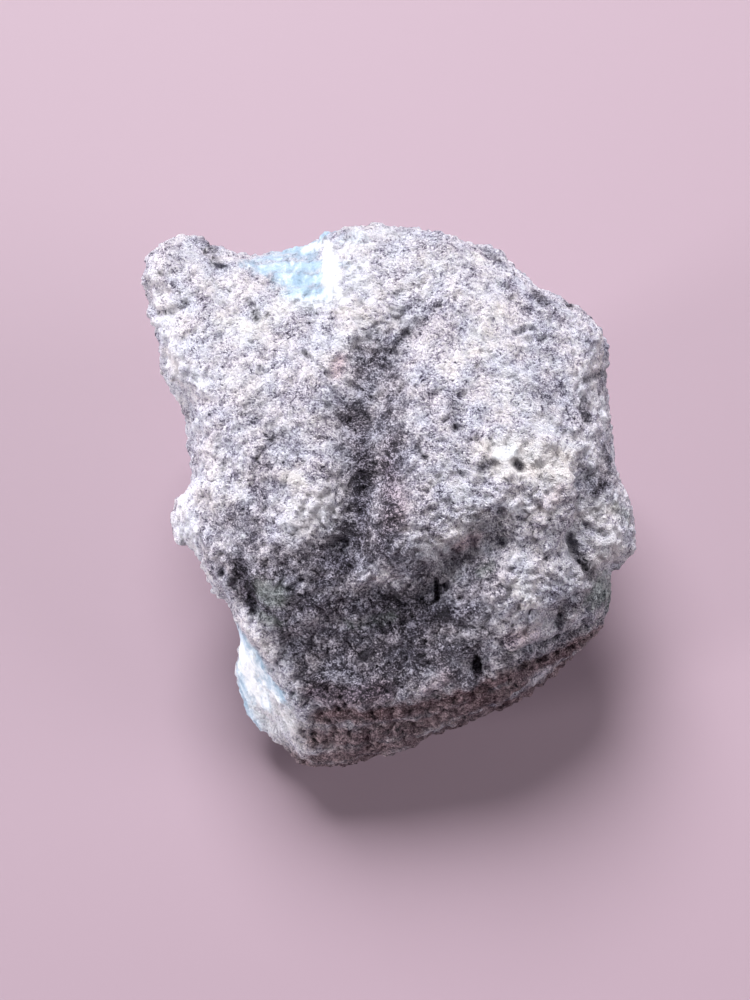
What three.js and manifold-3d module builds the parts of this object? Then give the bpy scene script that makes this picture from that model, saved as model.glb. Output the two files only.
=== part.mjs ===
// Rough larimar: one broken, palm-sized lump of grey crusted rock, lying on a small flat.
// Millimetres, +Z up, origin on the ground under the middle of the stone.
import * as THREE from 'three';
import { ImprovedNoise } from 'three/addons/math/ImprovedNoise.js';
import { mergeVertices } from 'three/addons/utils/BufferGeometryUtils.js';
import Module from 'manifold-3d';

// The stone is shaped with its broad face square on: u runs across it, v up it and w out of it.
// Then it is laid down on the ground, where the broad face looks up and leans forward.
const faceLean = THREE.MathUtils.degToRad(15);
const heart = new THREE.Vector3(1, -1, -8); // every part of the skin can be seen from here
const seedRadii = new THREE.Vector3(26, 28, 17); // the ellipsoid that spreads the triangles
const seedDetail = 20;
const groundDrop = 17; // from the heart down to the flat that the stone lies on
const groundSize = 120; // side of the block that is cut away below that flat
const strides = { count: 60, share: 0.8 }; // steps of the walk out to the skin, as a share of the depth left

// The outline of the broad face as [u, v, w]: w is the level at which the side is widest there.
const outline = [
  [27.8, -2.6, -5], [26.7, 2.0, -5], [26.0, 5.0, -5], [25.7, 8.8, -5], [25.2, 12.5, -4.5],
  [25.5, 16.2, -4], [24.8, 18.2, -4], [22.4, 20.4, -4], [19.8, 22.6, -4], [17.9, 23.1, -4],
  [16.2, 24.9, -4], [13.0, 27.4, -3.5], [9.9, 27.8, -3.5], [8.1, 28.7, -3.5], [4.9, 29.1, -3.5],
  [2.2, 29.5, -3.5], [-1.4, 29.6, -4], [-5.4, 29.1, -4], [-7.2, 28.2, -4], [-10, 28.2, -3.5],
  [-14.1, 27.3, -3.5], [-16.9, 27.0, -3.5], [-18.3, 28.2, -3.5], [-20.4, 28.6, -3.5], [-22.8, 27.4, -3.5],
  [-24.6, 25.0, -3.5], [-25.4, 22.5, -3.5], [-24.2, 20.4, -4], [-23.7, 16.3, -4],
  [-22.6, 12.6, -4.5], [-20.5, 10.2, -5], [-20.2, 6.0, -5], [-19.8, 1.4, -5], [-21.1, -0.3, -5],
  [-21.0, -3.4, -5], [-19.6, -6.2, -5.5], [-16.8, -10.4, -4], [-15.0, -13.6, -5],
  [-15.2, -19.0, -9], [-15.2, -22.4, -12], [-13.9, -25.8, -13], [-10.6, -29.8, -13],
  [-5.0, -31.0, -13], [1.0, -29.6, -12], [6.5, -27.0, -12], [12.8, -24.2, -11],
  [18.5, -21.0, -10], [23.0, -16.8, -8], [25.6, -12.6, -7], [25.8, -9.4, -6], [26.9, -7.0, -5],
];
const outlineSteps = 260;
const leanIn = { above: 0.2, below: 0.18, curl: 0.014 }; // how the side draws in from its widest level
const calmerBelow = { from: 1, to: 8, window: 11 }; // the outline's small bays die out this far below it

// Broken faces: each is a plane through a point, with the direction that it looks in and how
// softly it meets its neighbours.
const brokenFaces = [
  { name: 'upper left of the broad face', at: [-11, 13, 4.6], looks: [-0.14, 0.24, 0.96], soft: 3 },
  { name: 'upper right of the broad face', at: [12, 12, 5.8], looks: [0.18, 0.2, 0.95], soft: 3 },
  { name: 'left cheek', at: [-14, -2, 4], looks: [-0.34, -0.12, 0.94], soft: 3 },
  { name: 'lower slope', at: [-1, -13, 3], looks: [-0.05, -0.54, 0.84], soft: 3 },
  { name: 'right hip', at: [18, -10, 1.4], looks: [0.3, -0.34, 0.89], soft: 3 },
  { name: 'front wall', at: [2, -27.2, -7], looks: [0.16, -0.9, 0.4], soft: 1.2 },
  { name: 'front wall on the right', at: [17, -20, -5], looks: [0.5, -0.78, 0.38], soft: 1.2 },
  { name: 'blue window', at: [-8.3, -22.6, -3.2], looks: [-0.64, -0.58, 0.5], soft: 0.8 },
  { name: 'under right', at: [14, -5, -24.5], looks: [0.57, -0.21, -0.79], soft: 3 },
  { name: 'under left', at: [-10, 0, -25.5], looks: [-0.58, 0.07, -0.81], soft: 3 },
  { name: 'under back', at: [2.5, 8, -27.5], looks: [0.07, 0.45, -0.89], soft: 3 },
  { name: 'under back left', at: [-8, 6, -27], looks: [-0.45, 0.4, -0.8], soft: 3 },
  { name: 'under back right', at: [11, 4.5, -27], looks: [0.5, 0.3, -0.81], soft: 3 },
  { name: 'under front', at: [1, -21.5, -20.5], looks: [0, -0.57, -0.82], soft: 2 },
  { name: 'under front left', at: [-11.5, -17.5, -21.3], looks: [-0.35, -0.56, -0.75], soft: 2 },
  { name: 'under front right', at: [12.5, -15.5, -22], looks: [0.43, -0.58, -0.69], soft: 2 },
  { name: 'back wall', at: [-4, 28, -13], looks: [-0.12, 0.93, -0.34], soft: 2 },
  { name: 'back wall on the right', at: [16, 23, -13], looks: [0.55, 0.72, -0.42], soft: 2 },
  { name: 'left wall', at: [-20.5, 4, -12], looks: [-0.85, -0.05, -0.53], soft: 2 },
];

// Swellings of the broad face, and hollows where out is negative: the middle as [u, v], the reach
// along and across, how far that is turned in degrees, and how far the skin stands out.
const swellings = [
  { name: 'corner knob', at: [-20.8, 24.3], reach: [4.4, 3.6], turn: 50, out: 1.4 },
  { name: 'dip beside the knob', at: [-16.2, 23.5], reach: [5, 2], turn: 100, out: -0.8 },
  { name: 'scoop with the blue', at: [-9.5, 25.6], reach: [5.5, 4], turn: -15, out: -1.8 },
  { name: 'white crest', at: [-3.4, 25.2], reach: [4.5, 1.8], turn: 80, out: 0.9 },
  { name: 'upper shoulder', at: [8, 20], reach: [7, 4], turn: 10, out: 0.9 },
  { name: 'right shoulder', at: [13, 9], reach: [8, 5], turn: -60, out: 1.3 },
  { name: 'left swell', at: [-10, -1], reach: [7, 4], turn: 60, out: 0.9 },
  { name: 'brow over the hollow', at: [4, -4], reach: [4, 3], turn: -20, out: 0.7 },
  { name: 'hollow of the lower slope', at: [3, -12], reach: [9, 4.5], turn: 15, out: -1.9 },
  { name: 'right hip swell', at: [15, -9], reach: [5, 4], turn: 50, out: 1.3 },
  { name: 'dark corner', at: [-14.2, -9.2], reach: [3, 2.2], turn: -50, out: -1 },
  { name: 'left rib of the slope', at: [-10.5, -10], reach: [5, 1.6], turn: -55, out: 0.6 },
  { name: 'front lip', at: [-4, -21.4], reach: [6, 1.6], turn: 3, out: 0.7 },
  { name: 'front lip on the right', at: [13, -17.4], reach: [5, 1.8], turn: 30, out: 0.9 },
  { name: 'notch in the lip', at: [11, -17.8], reach: [2, 1.4], turn: 30, out: -1.4 },
  { name: 'right lump', at: [25.4, -3], reach: [4, 2.6], turn: 70, out: 0.9 },
];

// Furrows of the broad face: a run of [u, v], with the half width and the depth that is cut.
const furrows = [
  { name: 'upper branch', run: [[6, 22], [3.5, 18.2], [1, 15.5]], half: 1.6, depth: 0.9 },
  {
    name: 'middle furrow',
    run: [[3, 18], [0, 15], [-1.6, 10], [-1.6, 4], [-2.2, -1], [-3.5, -5]],
    half: 3,
    depth: 2.1,
  },
  { name: 'slanting furrow', run: [[14.5, -1.5], [12.5, -4], [8.5, -8], [6.8, -11]], half: 1.9, depth: 1.3 },
  { name: 'crease by the lump', run: [[22, 2], [21.2, -3], [22.5, -6.5], [26, -8]], half: 1.5, depth: 1.5 },
];
const furrowSteps = 40;

// Natural roughness all over, from broad to fine, and where in the noise the stone lies.
const skinNoise = [
  { grain: 10, height: 0.7 },
  { grain: 4.6, height: 0.5 },
  { grain: 2.4, height: 0.25 },
];
const noiseStart = new THREE.Vector3(7, 3, 11);

// Small chips all round the sides and the back, where the stone was knocked flat: each is cut to
// a depth in its middle, and dies out past its reach.
const chips = {
  count: 26, depth: 1, depthSpread: 0.5, depthTurns: 3, reach: 6, soft: 0.8, lowest: -0.93, highest: -0.52,
};
const feelerReach = 0.5; // how far to each side the skin is felt for its direction
const goldenAngle = Math.PI * (3 - Math.sqrt(5));
const faceLevels = { gone: -9, full: -2 }; // w levels between which the broad face's relief fades

// Smooth minimum: equal to the smaller value away from the join, and rounded within it.
function softMin(a, b, rounding) {
  const overlap = Math.max(rounding - Math.abs(a - b), 0) / rounding;
  return Math.min(a, b) - (overlap * overlap * rounding) / 4;
}

const outlineCurve = new THREE.CatmullRomCurve3(
  outline.map((p) => new THREE.Vector3(...p)), true, 'centripetal');
const outlinePoints = outlineCurve.getPoints(outlineSteps).slice(0, outlineSteps);

// The same outline with each point moved to the middle of its neighbours.
const calmPoints = outlinePoints.map((_, i) => {
  const sum = new THREE.Vector3();
  for (let k = -calmerBelow.window; k <= calmerBelow.window; k++) {
    sum.add(outlinePoints[(i + k + outlineSteps) % outlineSteps]);
  }
  return sum.divideScalar(2 * calmerBelow.window + 1);
});

// How far (u, v) lies inside an outline, and the widest level of the nearest side.
function sideAt(points, u, v) {
  let nearest = Infinity;
  let level = 0;
  let within = false;
  for (let i = 0; i < outlineSteps; i++) {
    const a = points[i];
    const b = points[(i + 1) % outlineSteps];
    const du = b.x - a.x;
    const dv = b.y - a.y;
    const share = THREE.MathUtils.clamp(((u - a.x) * du + (v - a.y) * dv) / (du * du + dv * dv), 0, 1);
    const away = Math.hypot(u - a.x - du * share, v - a.y - dv * share);
    if (away < nearest) {
      nearest = away;
      level = a.z + (b.z - a.z) * share;
    }
    if (a.y > v !== b.y > v && u < a.x + ((v - a.y) * du) / dv) within = !within;
  }
  return { inside: within ? nearest : -nearest, level };
}

function sideGap(p) {
  const side = sideAt(outlinePoints, p.x, p.y);
  const rise = p.z - side.level;
  if (rise > 0) return side.inside - rise * leanIn.above - leanIn.curl * rise * rise;
  const calm = THREE.MathUtils.smoothstep(-rise, calmerBelow.from, calmerBelow.to);
  const inside = THREE.MathUtils.lerp(side.inside, sideAt(calmPoints, p.x, p.y).inside, calm);
  return inside + rise * leanIn.below - leanIn.curl * rise * rise;
}

const planes = brokenFaces.map(({ at, looks, soft }) => {
  const plane = new THREE.Plane();
  plane.setFromNormalAndCoplanarPoint(new THREE.Vector3(...looks).normalize(), new THREE.Vector3(...at));
  return { plane, soft, at: plane.coplanarPoint(new THREE.Vector3()), reach: Infinity };
});

function bell(share) {
  return Math.exp(-share * share);
}

// One for the middle of a swelling, falling to nothing past its reach.
function swellingShare({ at, reach, turn }, p) {
  const angle = THREE.MathUtils.degToRad(turn);
  const du = p.x - at[0];
  const dv = p.y - at[1];
  const along = du * Math.cos(angle) + dv * Math.sin(angle);
  const across = dv * Math.cos(angle) - du * Math.sin(angle);
  return bell(Math.hypot(along / reach[0], across / reach[1]));
}

const furrowLines = furrows.map(({ run, half, depth }) => {
  const line = new THREE.SplineCurve(run.map((p) => new THREE.Vector2(...p)));
  return { points: line.getPoints(furrowSteps), half, depth };
});

const noise = new ImprovedNoise();

// How far the skin is moved out at a point by swellings, furrows and its natural roughness.
function relief(p) {
  let onFace = 0;
  for (const swelling of swellings) onFace += swelling.out * swellingShare(swelling, p);
  for (const { points, half, depth } of furrowLines) {
    const away = Math.min(...points.map((q) => Math.hypot(q.x - p.x, q.y - p.y)));
    onFace -= depth * bell(away / half);
  }
  let out = onFace * THREE.MathUtils.smoothstep(p.z, faceLevels.gone, faceLevels.full);
  for (const { grain, height } of skinNoise) {
    const q = p.clone().divideScalar(grain).add(noiseStart);
    out += height * noise.noise(q.x, q.y, q.z);
  }
  return out;
}

// Positive inside the stone, in millimetres near the skin.
function depthInside(p) {
  let depth = sideGap(p);
  for (const { plane, soft, at, reach } of planes) {
    const pastReach = Math.max(p.distanceTo(at) - reach, 0);
    depth = softMin(depth, pastReach - plane.distanceToPoint(p), soft);
  }
  return depth;
}

// Walks out from the heart to the skin, in strides that shorten as the skin comes near.
function smoothSkinPoint(direction) {
  const p = heart.clone();
  for (let i = 0; i < strides.count; i++) p.addScaledVector(direction, strides.share * depthInside(p));
  return p;
}

// The direction in which the skin looks at a point on it.
function skinNormal(p) {
  const slope = ['x', 'y', 'z'].map((axis) => {
    const ahead = p.clone();
    const behind = p.clone();
    ahead[axis] += feelerReach;
    behind[axis] -= feelerReach;
    return depthInside(behind) - depthInside(ahead);
  });
  return new THREE.Vector3(...slope).normalize();
}

// Knocks the chips off: each is a plane laid a little under the skin.
function knockChips() {
  const chipPlanes = [];
  for (let i = 0; i < chips.count; i++) {
    const share = (i + 0.5) / chips.count;
    const w = THREE.MathUtils.lerp(chips.lowest, chips.highest, share);
    const round = Math.sqrt(1 - w * w);
    const angle = i * goldenAngle;
    const direction = new THREE.Vector3(round * Math.cos(angle), round * Math.sin(angle), w);
    const at = smoothSkinPoint(direction.multiply(seedRadii).normalize());
    const looks = skinNormal(at);
    const depth = chips.depth + chips.depthSpread * Math.sin(chips.depthTurns * angle);
    at.addScaledVector(looks, -depth);
    const plane = new THREE.Plane().setFromNormalAndCoplanarPoint(looks, at);
    chipPlanes.push({ plane, soft: chips.soft, at, reach: chips.reach });
  }
  planes.push(...chipPlanes);
}

function skinPoint(direction) {
  const p = smoothSkinPoint(direction);
  return p.addScaledVector(direction, relief(p));
}

function roughLump() {
  const seed = new THREE.IcosahedronGeometry(1, seedDetail);
  seed.deleteAttribute('normal');
  seed.deleteAttribute('uv');
  const lump = mergeVertices(seed);
  const position = lump.getAttribute('position');
  const direction = new THREE.Vector3();
  for (let i = 0; i < position.count; i++) {
    direction.fromBufferAttribute(position, i).multiply(seedRadii).normalize();
    position.setXYZ(i, ...skinPoint(direction));
  }
  return lump;
}

const wasm = await Module();
wasm.setup();

function solidOf(geometry) {
  return new wasm.Manifold(new wasm.Mesh({
    numProp: 3,
    vertProperties: geometry.getAttribute('position').array,
    triVerts: new Uint32Array(geometry.index.array),
  }));
}

function geometryOf(solid) {
  const { vertProperties, triVerts } = solid.getMesh();
  const geometry = new THREE.BufferGeometry();
  geometry.setAttribute('position', new THREE.BufferAttribute(vertProperties, 3));
  geometry.setIndex(new THREE.BufferAttribute(triVerts, 1));
  geometry.computeVertexNormals();
  return geometry;
}

// Lays the lump down with its heart over the origin, and breaks it flat where it meets the ground.
function layDown(lump) {
  lump.translate(-heart.x, -heart.y, -heart.z);
  lump.rotateX(faceLean);
  lump.translate(0, 0, groundDrop);
  const ground = new THREE.BoxGeometry(groundSize, groundSize, groundSize);
  ground.deleteAttribute('normal');
  ground.deleteAttribute('uv');
  ground.translate(0, 0, -groundSize / 2);
  return geometryOf(solidOf(lump).subtract(solidOf(mergeVertices(ground))));
}

const greyCrust = new THREE.MeshStandardMaterial({ color: 0xb4b0bd, roughness: 0.9, metalness: 0 });

knockChips();
const stone = new THREE.Mesh(layDown(roughLump()), greyCrust);
stone.name = 'larimar_stone';
const middle = new THREE.Box3().setFromObject(stone).getCenter(new THREE.Vector3());
stone.position.set(-middle.x, -middle.y, 0);

const object = new THREE.Group();
object.add(stone);

export default object;
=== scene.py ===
import math

import bpy
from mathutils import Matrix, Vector
from mathutils.kdtree import KDTree


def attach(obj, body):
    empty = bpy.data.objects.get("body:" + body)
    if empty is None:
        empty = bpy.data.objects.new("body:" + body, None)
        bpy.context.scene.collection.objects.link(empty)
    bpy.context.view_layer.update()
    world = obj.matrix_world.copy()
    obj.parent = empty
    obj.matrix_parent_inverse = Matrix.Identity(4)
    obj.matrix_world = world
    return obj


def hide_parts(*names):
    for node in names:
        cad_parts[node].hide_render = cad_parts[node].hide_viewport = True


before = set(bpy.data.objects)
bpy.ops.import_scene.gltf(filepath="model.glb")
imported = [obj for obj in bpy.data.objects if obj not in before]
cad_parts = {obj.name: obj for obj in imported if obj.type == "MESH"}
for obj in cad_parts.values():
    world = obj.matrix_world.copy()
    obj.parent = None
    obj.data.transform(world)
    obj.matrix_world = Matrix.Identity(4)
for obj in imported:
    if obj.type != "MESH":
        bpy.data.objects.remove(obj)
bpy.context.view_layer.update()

mm = 0.001
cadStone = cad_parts["larimar_stone"]

# Where the photograph was taken from, in pixels, millimetres and degrees. The broad face leans back by
# lean, and is seen square on. A place on the stone may be given as the pixel where it shows.
shot = {
    "width": 750,
    "height": 1000,
    "lens": 60,
    "sensor": 36,     # spans the picture's height
    "distance": 177,  # from the aim to the lens
    "nearest": 10,    # what lies nearer than this isn't drawn
    "lean": 15,
    "aim": (-1.506, -1.853, 24.986),  # what the middle of the picture looks at
}
faceLean = math.radians(shot["lean"])
aimPoint = Vector(shot["aim"]) * mm
across = Vector((1, 0, 0))
upTheFace = Vector((0, math.cos(faceLean), math.sin(faceLean)))
outOfFace = Vector((0, -math.sin(faceLean), math.cos(faceLean)))
eye = aimPoint + outOfFace * shot["distance"] * mm


def seenAt(piece, x, y):
    reach = shot["lens"] / shot["sensor"] * shot["height"]
    ray = across * (x - shot["width"] / 2) + upTheFace * (shot["height"] / 2 - y) - outOfFace * reach
    hit, place = piece.ray_cast(eye, ray.normalized())[:2]
    return place if hit else None


def fromSide(piece, azimuth, height):  # degrees round from the front, and millimetres above the ground
    turn = math.radians(azimuth)
    outward = Vector((math.sin(turn), -math.cos(turn), 0))
    level = Vector((0, 0, height * mm))
    hit, place = piece.ray_cast(level + outward, -outward)[:2]
    return place if hit else None


# Each stroke follows a run of places: "seen" as pixels of the photograph, "side" as azimuth and height.
# half is its half width in millimetres. amount is its depth or height in millimetres, or the strength of
# a stain, and it fades out sideways.
strokeStep = 2.5   # pixels, or degrees for a side stroke
strokeReach = 2.2  # half widths from its middle, past which a stroke does nothing


def placesAlong(piece, stroke):
    finder = seenAt if "seen" in stroke else fromSide
    run = stroke.get("seen") or stroke["side"]
    places = [finder(piece, *run[0])]
    for start, end in zip(run, run[1:]):
        steps = math.ceil(math.dist(start, end) / strokeStep)
        for i in range(1, steps + 1):
            share = i / steps
            places.append(finder(piece, *(a + (b - a) * share for a, b in zip(start, end))))
    return [place for place in places if place]


def sharesOf(piece, spots, strokes):
    shares = {}
    for stroke in strokes:
        half = stroke["half"] * mm
        for place in placesAlong(piece, stroke):
            for _, index, away in spots.find_range(place, strokeReach * half):
                share = stroke["amount"] * math.exp(-(away / half) ** 2)
                shares[index] = max(shares.get(index, 0), share)
    return shares


def spotsOf(piece):
    bpy.context.view_layer.update()
    spots = KDTree(len(piece.data.vertices))
    for vertex in piece.data.vertices:
        spots.insert(vertex.co, vertex.index)
    spots.balance()
    return spots


def workOn(piece):
    bpy.ops.object.select_all(action="DESELECT")
    piece.select_set(True)
    bpy.context.view_layer.objects.active = piece


def apply(piece, kind, **settings):
    modifier = piece.modifiers.new(kind.lower(), kind)
    for name, value in settings.items():
        setattr(modifier, name, value)
    bpy.ops.object.modifier_apply(modifier=modifier.name)


def groupOf(piece, name, shares):
    group = piece.vertex_groups.new(name=name)
    for index, share in shares.items():
        group.add([index], min(share, 1), "REPLACE")
    return name


print("camera and light")
cameraData = bpy.data.cameras.new("camera")
cameraData.lens = shot["lens"]
cameraData.sensor_width = shot["sensor"]
cameraData.clip_start = shot["nearest"] * mm
camera = bpy.data.objects.new("camera", cameraData)
camera.location = eye
camera.rotation_euler = (faceLean, 0, 0)
bpy.context.scene.collection.objects.link(camera)
bpy.context.scene.camera = camera

# Each lamp faces the aim. toward is its direction from there: across, up the face and out of the face.
# away and size are in metres, power is in watts.
lights = {
    "window": {
        "toward": (-0.16, 0.82, 0.54), "away": 1.3, "size": 0.7, "power": 35.5, "colour": (1, 0.985, 1),
    },
    "low": {
        "toward": (-0.94, -0.27, 0.2), "away": 2, "size": 0.36, "power": 48.4, "colour": (1, 0.98, 0.99),
    },
    "room": {
        "toward": (0.9, 0.02, 0.43), "away": 0.8, "size": 0.5, "power": 3.8, "colour": (1, 0.965, 0.99),
    },
}
worldLook = {"colour": (0.9, 0.82, 0.9), "strength": 0.07}
floorLook = {"size": 3, "colour": (0.32, 0.235, 0.284), "roughness": 0.7}

for name, light in lights.items():
    lamp = bpy.data.lights.new(name, "AREA")
    lamp.shape = "DISK"
    lamp.size = light["size"]
    lamp.energy = light["power"]
    lamp.color = light["colour"]
    u, v, w = light["toward"]
    toward = (across * u + upTheFace * v + outOfFace * w).normalized()
    holder = bpy.data.objects.new(name, lamp)
    holder.location = aimPoint + toward * light["away"]
    holder.rotation_euler = toward.to_track_quat("Z", "Y").to_euler()
    bpy.context.scene.collection.objects.link(holder)

world = bpy.data.worlds.new("room")
bpy.context.scene.world = world
world.use_nodes = True
background = world.node_tree.nodes["Background"]
background.inputs["Color"].default_value = (*worldLook["colour"], 1)
background.inputs["Strength"].default_value = worldLook["strength"]
bpy.context.scene.view_settings.view_transform = "Standard"

bpy.ops.object.select_all(action="DESELECT")
bpy.ops.mesh.primitive_plane_add(size=floorLook["size"])
floor = bpy.context.object
floor.name = "paleFloor"
floorSkin = bpy.data.materials.new("paleFloor")
floorSkin.use_nodes = True
floorShader = floorSkin.node_tree.nodes["Principled BSDF"]
floorShader.inputs["Base Color"].default_value = (*floorLook["colour"], 1)
floorShader.inputs["Roughness"].default_value = floorLook["roughness"]
floor.data.materials.append(floorSkin)


print("the stone's form")
stoneForm = {  # lengths in millimetres
    "mergeWithin": 0.01,
    "voxel": 0.24,
    "softenBy": 0.5,
    "softenTimes": 10,
    "seat": 0.15,        # what lies lower than this is part of the flat that the stone rests on
    "roughFrom": 1.6,    # height from which the relief has its full strength
    "hiddenFrom": 0.25,  # a spot that faces the camera less than this counts as hidden
    "mostTriangles": 194000,
}
# Relief that is laid all over, from broad to fine: size is that of its lumps, out is how far it moves
# the skin, and level is the level of the pattern that stays in place.
crustRelief = [
    {"kind": "CLOUDS", "size": 6.5, "out": 0.9, "level": 0.25, "depth": 1, "type": "HARD_NOISE"},
    {"kind": "VORONOI", "size": 4.2, "out": 0.75, "level": 0.2},
    {"kind": "VORONOI", "size": 1.9, "out": 0.45, "level": 0.2},
    {"kind": "CLOUDS", "size": 1.6, "out": 0.85, "level": 0.25, "depth": 2, "type": "HARD_NOISE"},
    {"kind": "CLOUDS", "size": 0.75, "out": 0.5, "level": 0.45, "depth": 1, "type": "SOFT_NOISE"},
]
# Low swells of the right hip, which face it more to the light. Here amount is a share of swellHeight.
swells = [
    {"seen": [(504, 588), (535, 592), (570, 576)], "half": 4.5, "amount": 0.75},
    {"seen": [(524, 508), (552, 510)], "half": 4.0, "amount": 0.65},
]
swellHeight = 1.5
# Where the blue stone shows, it broke smoother than the crust. Here amount is the share of the relief
# that is left out.
smoothPlaces = [
    {"seen": [(262, 262), (290, 266), (318, 270)], "half": 2.4, "amount": 0.6},
    {"seen": [(242, 640), (246, 668), (254, 696)], "half": 2.4, "amount": 0.85},
    {"seen": [(256, 664), (272, 688)], "half": 1.6, "amount": 0.85},
]
# Pits, slits and cracks that go in, then small ridges and bumps that stand out.
sunkMarks = [
    {"seen": [(207, 245), (213, 256), (219, 266)], "half": 0.8, "amount": 1.0},
    {"seen": [(156, 313), (168, 314), (178, 310), (188, 303)], "half": 0.45, "amount": 0.6},
    {"seen": [(160, 294), (168, 291)], "half": 0.4, "amount": 0.4},
    {"seen": [(184, 303), (190, 296)], "half": 0.4, "amount": 0.4},
    {"seen": [(252, 304), (256, 319)], "half": 0.55, "amount": 0.8},
    {"seen": [(270, 438), (282, 433)], "half": 0.8, "amount": 0.6},
    {"seen": [(305, 354), (318, 366), (333, 379)], "half": 0.28, "amount": 0.45},
    {"seen": [(361, 303), (361, 320)], "half": 0.25, "amount": 0.35},
    {"seen": [(394, 350), (400, 340), (410, 333), (424, 320)], "half": 0.4, "amount": 0.22},
    {"seen": [(428, 311), (440, 305)], "half": 0.35, "amount": 0.3},
    {"seen": [(434, 441), (428, 437), (421, 440), (418, 448), (421, 456), (428, 459)], "half": 0.28,
     "amount": 0.5},
    {"seen": [(452, 404), (454, 416), (456, 431)], "half": 0.4, "amount": 0.6},
    {"seen": [(584, 380), (594, 376), (604, 372)], "half": 0.4, "amount": 0.4},
    {"seen": [(584, 405), (586, 418)], "half": 0.7, "amount": 0.5},
    {"seen": [(517, 464), (520, 468)], "half": 0.6, "amount": 0.6},
    {"seen": [(512, 335), (522, 331), (535, 329)], "half": 0.28, "amount": 0.3},
    {"seen": [(484, 250), (490, 256)], "half": 0.5, "amount": 0.4},
    {"seen": [(535, 292), (541, 300)], "half": 0.7, "amount": 0.5},
    {"seen": [(565, 300), (572, 306)], "half": 0.6, "amount": 0.5},
    {"seen": [(500, 511)], "half": 0.5, "amount": 0.4},
    {"seen": [(550, 520)], "half": 0.3, "amount": 0.4},
    {"seen": [(502, 543), (480, 558), (455, 578), (444, 590)], "half": 0.6, "amount": 0.5},
    {"seen": [(436, 582), (437, 598)], "half": 0.28, "amount": 0.5},
    {"seen": [(443, 583), (443, 590)], "half": 0.25, "amount": 0.4},
    {"seen": [(569, 538), (573, 550), (584, 565), (592, 578)], "half": 0.5, "amount": 0.6},
    {"seen": [(596, 494), (607, 482)], "half": 0.6, "amount": 0.8},
    {"seen": [(477, 661), (478, 670)], "half": 0.6, "amount": 1.0},
    {"seen": [(222, 568), (222, 574)], "half": 0.3, "amount": 0.35},
    {"seen": [(241, 563), (243, 580), (250, 600), (262, 622)], "half": 0.9, "amount": 0.5},
    {"seen": [(374, 340), (364, 372), (360, 410), (362, 450), (362, 500), (352, 540)], "half": 1.8,
     "amount": 0.3},
    {"seen": [(508, 652), (540, 643), (575, 632), (604, 620)], "half": 0.35, "amount": 0.5},
    {"seen": [(500, 672), (530, 664), (570, 648), (590, 638)], "half": 0.35, "amount": 0.45},
    {"seen": [(334, 708), (362, 716), (398, 709), (430, 708), (470, 694)], "half": 0.35, "amount": 0.3},
    {"seen": [(350, 732), (384, 724), (420, 724), (462, 708)], "half": 0.35, "amount": 0.3},
    {"side": [(120, 24), (128, 19), (133, 13)], "half": 0.7, "amount": 0.8},
    {"side": [(168, 22), (180, 24), (192, 23)], "half": 0.6, "amount": 0.8},
    {"side": [(205, 26), (212, 20), (214, 13)], "half": 0.7, "amount": 0.9},
    {"side": [(245, 18), (256, 15), (262, 10)], "half": 0.6, "amount": 0.8},
    {"side": [(285, 14), (292, 10)], "half": 0.7, "amount": 0.8},
    {"side": [(90, 14), (98, 11), (104, 11)], "half": 0.5, "amount": 0.7},
    {"side": [(150, 15)], "half": 0.9, "amount": 1.0},
    {"side": [(228, 14)], "half": 0.8, "amount": 0.9},
]
raisedMarks = [
    {"seen": [(304, 694), (326, 692), (352, 702), (380, 696)], "half": 0.7, "amount": 0.2},
    {"seen": [(436, 682), (452, 672)], "half": 0.9, "amount": 0.6},
    {"seen": [(512, 646), (530, 636), (548, 632)], "half": 0.8, "amount": 0.5},
    {"seen": [(246, 626), (262, 644), (280, 664), (298, 686)], "half": 0.6, "amount": 0.4},
    {"seen": [(326, 236), (329, 243)], "half": 0.8, "amount": 0.7},
    {"seen": [(330, 252), (329, 275)], "half": 0.8, "amount": 0.5},
    {"seen": [(203, 492), (214, 480)], "half": 1.3, "amount": 0.6},
    {"seen": [(196, 530)], "half": 0.7, "amount": 0.4},
    {"seen": [(357, 617), (373, 606)], "half": 0.35, "amount": 0.4},
    {"seen": [(520, 590), (528, 602)], "half": 0.8, "amount": 0.5},
    {"seen": [(285, 476), (297, 482)], "half": 0.7, "amount": 0.4},
    {"side": [(140, 20), (152, 22), (163, 18)], "half": 1.0, "amount": 0.7},
    {"side": [(196, 18), (206, 14)], "half": 1.1, "amount": 0.8},
    {"side": [(235, 22), (246, 20)], "half": 1.0, "amount": 0.7},
    {"side": [(272, 17), (282, 20)], "half": 0.9, "amount": 0.6},
]


def crustTexture(number, layer):
    texture = bpy.data.textures.new(f"crust relief {number}", layer["kind"])
    texture.noise_scale = layer["size"] * mm
    if layer["kind"] == "CLOUDS":
        texture.noise_depth = layer["depth"]
        texture.noise_type = layer["type"]
    else:  # high in the middle of each cell and low along its edges
        texture.weight_1 = -1
        texture.weight_2 = 1
    return texture


stone = bpy.data.objects.new("larimarStone", cadStone.data.copy())
bpy.context.scene.collection.objects.link(stone)
stone.data.materials.clear()
workOn(stone)
bpy.ops.object.mode_set(mode="EDIT")
bpy.ops.mesh.select_all(action="SELECT")
bpy.ops.mesh.remove_doubles(threshold=stoneForm["mergeWithin"] * mm)
bpy.ops.object.mode_set(mode="OBJECT")
apply(stone, "REMESH", mode="VOXEL", voxel_size=stoneForm["voxel"] * mm)

seat = stoneForm["seat"] * mm
roughFrom = stoneForm["roughFrom"] * mm
looseShares = {}
for vertex in stone.data.vertices:
    looseShares[vertex.index] = min(max((vertex.co.z - seat) / (roughFrom - seat), 0), 1)
loose = groupOf(stone, "above the seat", looseShares)
apply(
    stone, "SMOOTH", factor=stoneForm["softenBy"], iterations=stoneForm["softenTimes"], vertex_group=loose,
)

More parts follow.
